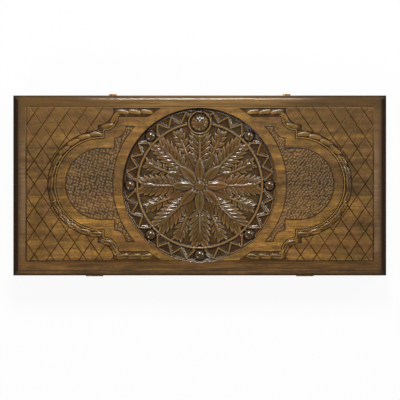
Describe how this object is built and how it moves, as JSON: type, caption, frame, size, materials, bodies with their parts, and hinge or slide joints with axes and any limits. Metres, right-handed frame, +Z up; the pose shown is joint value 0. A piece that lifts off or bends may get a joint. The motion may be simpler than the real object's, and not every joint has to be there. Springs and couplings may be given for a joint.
{
  "type": "backgammon board",
  "caption": "Folding wooden backgammon case: hinged trays with inlaid playing points, lid carved with lattice, ribboned cartouches and a rosette medallion, brass clasps, checkers and dice.",
  "frame": {"origin": "centre of the closed case's underside, on the surface it rests on", "axes": "+X along the case's length, +Y towards the clasps, +Z up out of the carved lid"},
  "size_m": [0.58, 0.2859, 0.076],
  "materials": {
    "stained_beech": "golden brown stain under satin lacquer, dark stain left in the carving",
    "edge_wood": "dark brown stain under satin lacquer",
    "medallion_wood": "dark brown stain under gloss lacquer",
    "board_veneer": "satin lacquered beech",
    "light_veneer": "satin lacquered maple",
    "dark_veneer": "satin lacquered walnut",
    "light_checker_wood": "turned and satin lacquered",
    "dark_checker_wood": "turned and satin lacquered",
    "brass": "aged, lightly worn",
    "dice_plastic": "polished ivory-coloured plastic"
  },
  "bodies": {
    "tray": {"tray_base_panel": "stained_beech", "tray_hinge_rail": "edge_wood", "tray_clasp_rail": "edge_wood", "tray_left_rail": "edge_wood", "tray_right_rail": "edge_wood", "tray_playing_board": "board_veneer", "tray_light_points": "light_veneer", "tray_dark_points": "dark_veneer", "tray_hinge_screws": "brass", "tray_clasp_screws": "brass", "tray_hinge_leaf_left": "brass", "tray_hinge_leaf_right": "brass", "hinge_pin_left": "brass", "hinge_pin_right": "brass", "clasp_catch_left": "brass", "clasp_catch_right": "brass", "light_checkers": "light_checker_wood", "dark_checkers": "dark_checker_wood", "dice": "dice_plastic"},
    "lid": {"lid_carved_panel": "stained_beech", "lid_medallion": "medallion_wood", "lid_hinge_rail": "edge_wood", "lid_clasp_rail": "edge_wood", "lid_left_rail": "edge_wood", "lid_right_rail": "edge_wood", "lid_playing_board": "board_veneer", "lid_light_points": "light_veneer", "lid_dark_points": "dark_veneer", "lid_hinge_screws": "brass", "lid_clasp_screws": "brass", "lid_hinge_leaf_left": "brass", "lid_hinge_leaf_right": "brass", "clasp_plate_left": "brass", "clasp_plate_right": "brass", "clasp_pin_left": "brass", "clasp_pin_right": "brass"},
    "hasp_left": {"clasp_hasp_left": "brass"},
    "hasp_right": {"clasp_hasp_right": "brass"}
  },
  "joints": [
    {"name": "lid_hinge", "type": "hinge", "parent": "tray", "child": "lid", "pos_m": [0, -0.1404, 0.038], "axis": [1, 0, 0], "range_deg": [0, 180]},
    {"name": "hasp_left_swing", "type": "hinge", "parent": "lid", "child": "hasp_left", "pos_m": [-0.136, 0.1418, 0.042], "axis": [1, 0, 0], "range_deg": [0, 170]},
    {"name": "hasp_right_swing", "type": "hinge", "parent": "lid", "child": "hasp_right", "pos_m": [0.136, 0.1418, 0.042], "axis": [1, 0, 0], "range_deg": [0, 170]}
  ]
}
